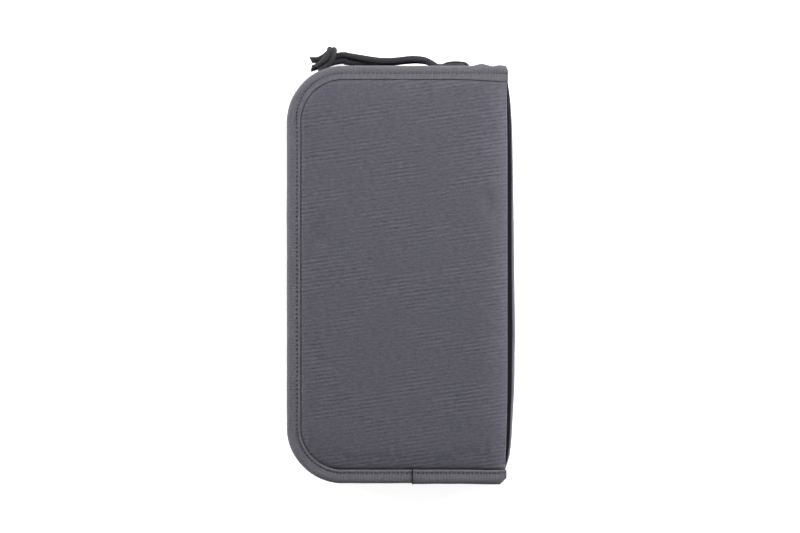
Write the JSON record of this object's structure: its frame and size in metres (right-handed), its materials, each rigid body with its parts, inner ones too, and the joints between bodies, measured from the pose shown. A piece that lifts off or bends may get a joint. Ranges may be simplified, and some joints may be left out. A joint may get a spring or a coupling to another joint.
{
  "type": "passport holder wallet",
  "caption": "Zip-around travel wallet in grey woven fabric, with bound edges, padded slip pocket on the front cover, folding spine, zip slider and knotted cord pull.",
  "frame": {"origin": "centre of the back cover's flat outer face, on which the closed wallet lies", "axes": "+Y along the wallet's length towards the end with the slider, +X towards the spine, +Z out of the front cover"},
  "size_m": [0.1333, 0.256, 0.025],
  "materials": {
    "back_outer_panel_mat": "woven nylon, coated, fine plain weave",
    "back_stiffener_mat": "thin stiffening board",
    "back_lining_mat": "thin dark woven lining",
    "back_binding_mat": "ribbed binding tape, stitched",
    "back_zip_tape_mat": "black woven nylon tape",
    "back_zip_coil_mat": "moulded black nylon",
    "back_zip_top_stop_mat": "moulded black nylon",
    "zip_bottom_stop_mat": "moulded black nylon",
    "boarding_pass_sleeve_mat": "thin dark woven lining",
    "passport_pocket_mat": "thin dark woven lining",
    "pen_loop_mat": "black woven nylon tape",
    "spine_shell_mat": "woven nylon, coated, fine plain weave",
    "spine_lining_mat": "thin dark woven lining",
    "spine_binding_top_mat": "ribbed binding tape, stitched",
    "spine_binding_bottom_mat": "ribbed binding tape, stitched",
    "slip_pocket_panel_mat": "woven nylon, coated, fine plain weave",
    "slip_pocket_lining_mat": "black woven nylon tape",
    "front_base_panel_mat": "woven nylon, coated, fine plain weave",
    "front_stiffener_mat": "thin stiffening board",
    "front_lining_mat": "thin dark woven lining",
    "front_binding_mat": "ribbed binding tape, stitched",
    "front_binding_lap_mat": "ribbed binding tape, stitched",
    "front_zip_tape_mat": "black woven nylon tape",
    "front_zip_coil_mat": "moulded black nylon",
    "front_zip_top_stop_mat": "moulded black nylon",
    "card_slot_1_mat": "thin dark woven lining",
    "card_slot_2_mat": "thin dark woven lining",
    "card_slot_3_mat": "thin dark woven lining",
    "id_window_frame_mat": "thin dark woven lining",
    "id_window_film_mat": "clear soft film",
    "coin_pocket_panel_mat": "thin dark woven lining",
    "coin_pocket_strip_mat": "thin dark woven lining",
    "coin_zip_upper_mat": "black woven nylon tape",
    "coin_zip_lower_mat": "black woven nylon tape",
    "slider_body_mat": "black painted zinc",
    "cord_loop_mat": "braided black cord",
    "cord_knot_mat": "braided black cord",
    "cord_tail_upper_mat": "braided black cord",
    "cord_tail_lower_mat": "braided black cord",
    "coin_slider_body_mat": "black painted zinc",
    "coin_pull_tab_mat": "black painted zinc"
  },
  "bodies": {
    "back": {"back_outer_panel": "back_outer_panel_mat", "back_stiffener": "back_stiffener_mat", "back_lining": "back_lining_mat", "back_binding": "back_binding_mat", "back_zip_tape": "back_zip_tape_mat", "back_zip_coil": "back_zip_coil_mat", "back_zip_top_stop": "back_zip_top_stop_mat", "zip_bottom_stop": "zip_bottom_stop_mat", "boarding_pass_sleeve": "boarding_pass_sleeve_mat", "passport_pocket": "passport_pocket_mat", "pen_loop": "pen_loop_mat"},
    "spine": {"spine_shell": "spine_shell_mat", "spine_lining": "spine_lining_mat", "spine_binding_top": "spine_binding_top_mat", "spine_binding_bottom": "spine_binding_bottom_mat"},
    "front": {"slip_pocket_panel": "slip_pocket_panel_mat", "slip_pocket_lining": "slip_pocket_lining_mat", "front_base_panel": "front_base_panel_mat", "front_stiffener": "front_stiffener_mat", "front_lining": "front_lining_mat", "front_binding": "front_binding_mat", "front_binding_lap": "front_binding_lap_mat", "front_zip_tape": "front_zip_tape_mat", "front_zip_coil": "front_zip_coil_mat", "front_zip_top_stop": "front_zip_top_stop_mat", "card_slot_1": "card_slot_1_mat", "card_slot_2": "card_slot_2_mat", "card_slot_3": "card_slot_3_mat", "id_window_frame": "id_window_frame_mat", "id_window_film": "id_window_film_mat", "coin_pocket_panel": "coin_pocket_panel_mat", "coin_pocket_strip": "coin_pocket_strip_mat", "coin_zip_upper": "coin_zip_upper_mat", "coin_zip_lower": "coin_zip_lower_mat"},
    "zip_slider": {"slider_body": "slider_body_mat"},
    "cord": {"cord_loop": "cord_loop_mat", "cord_knot": "cord_knot_mat", "cord_tail_upper": "cord_tail_upper_mat", "cord_tail_lower": "cord_tail_lower_mat"},
    "coin_slider": {"coin_slider_body": "coin_slider_body_mat"},
    "coin_pull": {"coin_pull_tab": "coin_pull_tab_mat"}
  },
  "joints": [
    {"name": "spine_fold", "type": "hinge", "parent": "back", "child": "spine", "pos_m": [0.064, 0, 0.0045], "axis": [0, 1, 0], "range_deg": [0, 90]},
    {"name": "cover_fold", "type": "hinge", "parent": "spine", "child": "front", "pos_m": [0.064, 0, 0.0205], "axis": [0, 1, 0], "range_deg": [0, 90]},
    {"name": "zip_slide", "type": "slide", "parent": "back", "child": "zip_slider", "axis": [-1, 0, 0], "range_m": [0, 0.06]},
    {"name": "cord_swing", "type": "hinge", "parent": "zip_slider", "child": "cord", "pos_m": [0.0346, 0.123, 0.0116], "axis": [0, 0, -1], "range_deg": [0, 160]},
    {"name": "coin_zip_slide", "type": "slide", "parent": "front", "child": "coin_slider", "axis": [-1, 0, 0], "range_m": [0, 0.068]},
    {"name": "coin_pull_lift", "type": "hinge", "parent": "coin_slider", "child": "coin_pull", "pos_m": [0.0321, -0.045, 0.01465], "axis": [0, -1, 0], "range_deg": [0, 90]}
  ],
  "couplings": [
    {"joint": "cover_fold", "follows": "spine_fold", "ratio": 1}
  ]
}
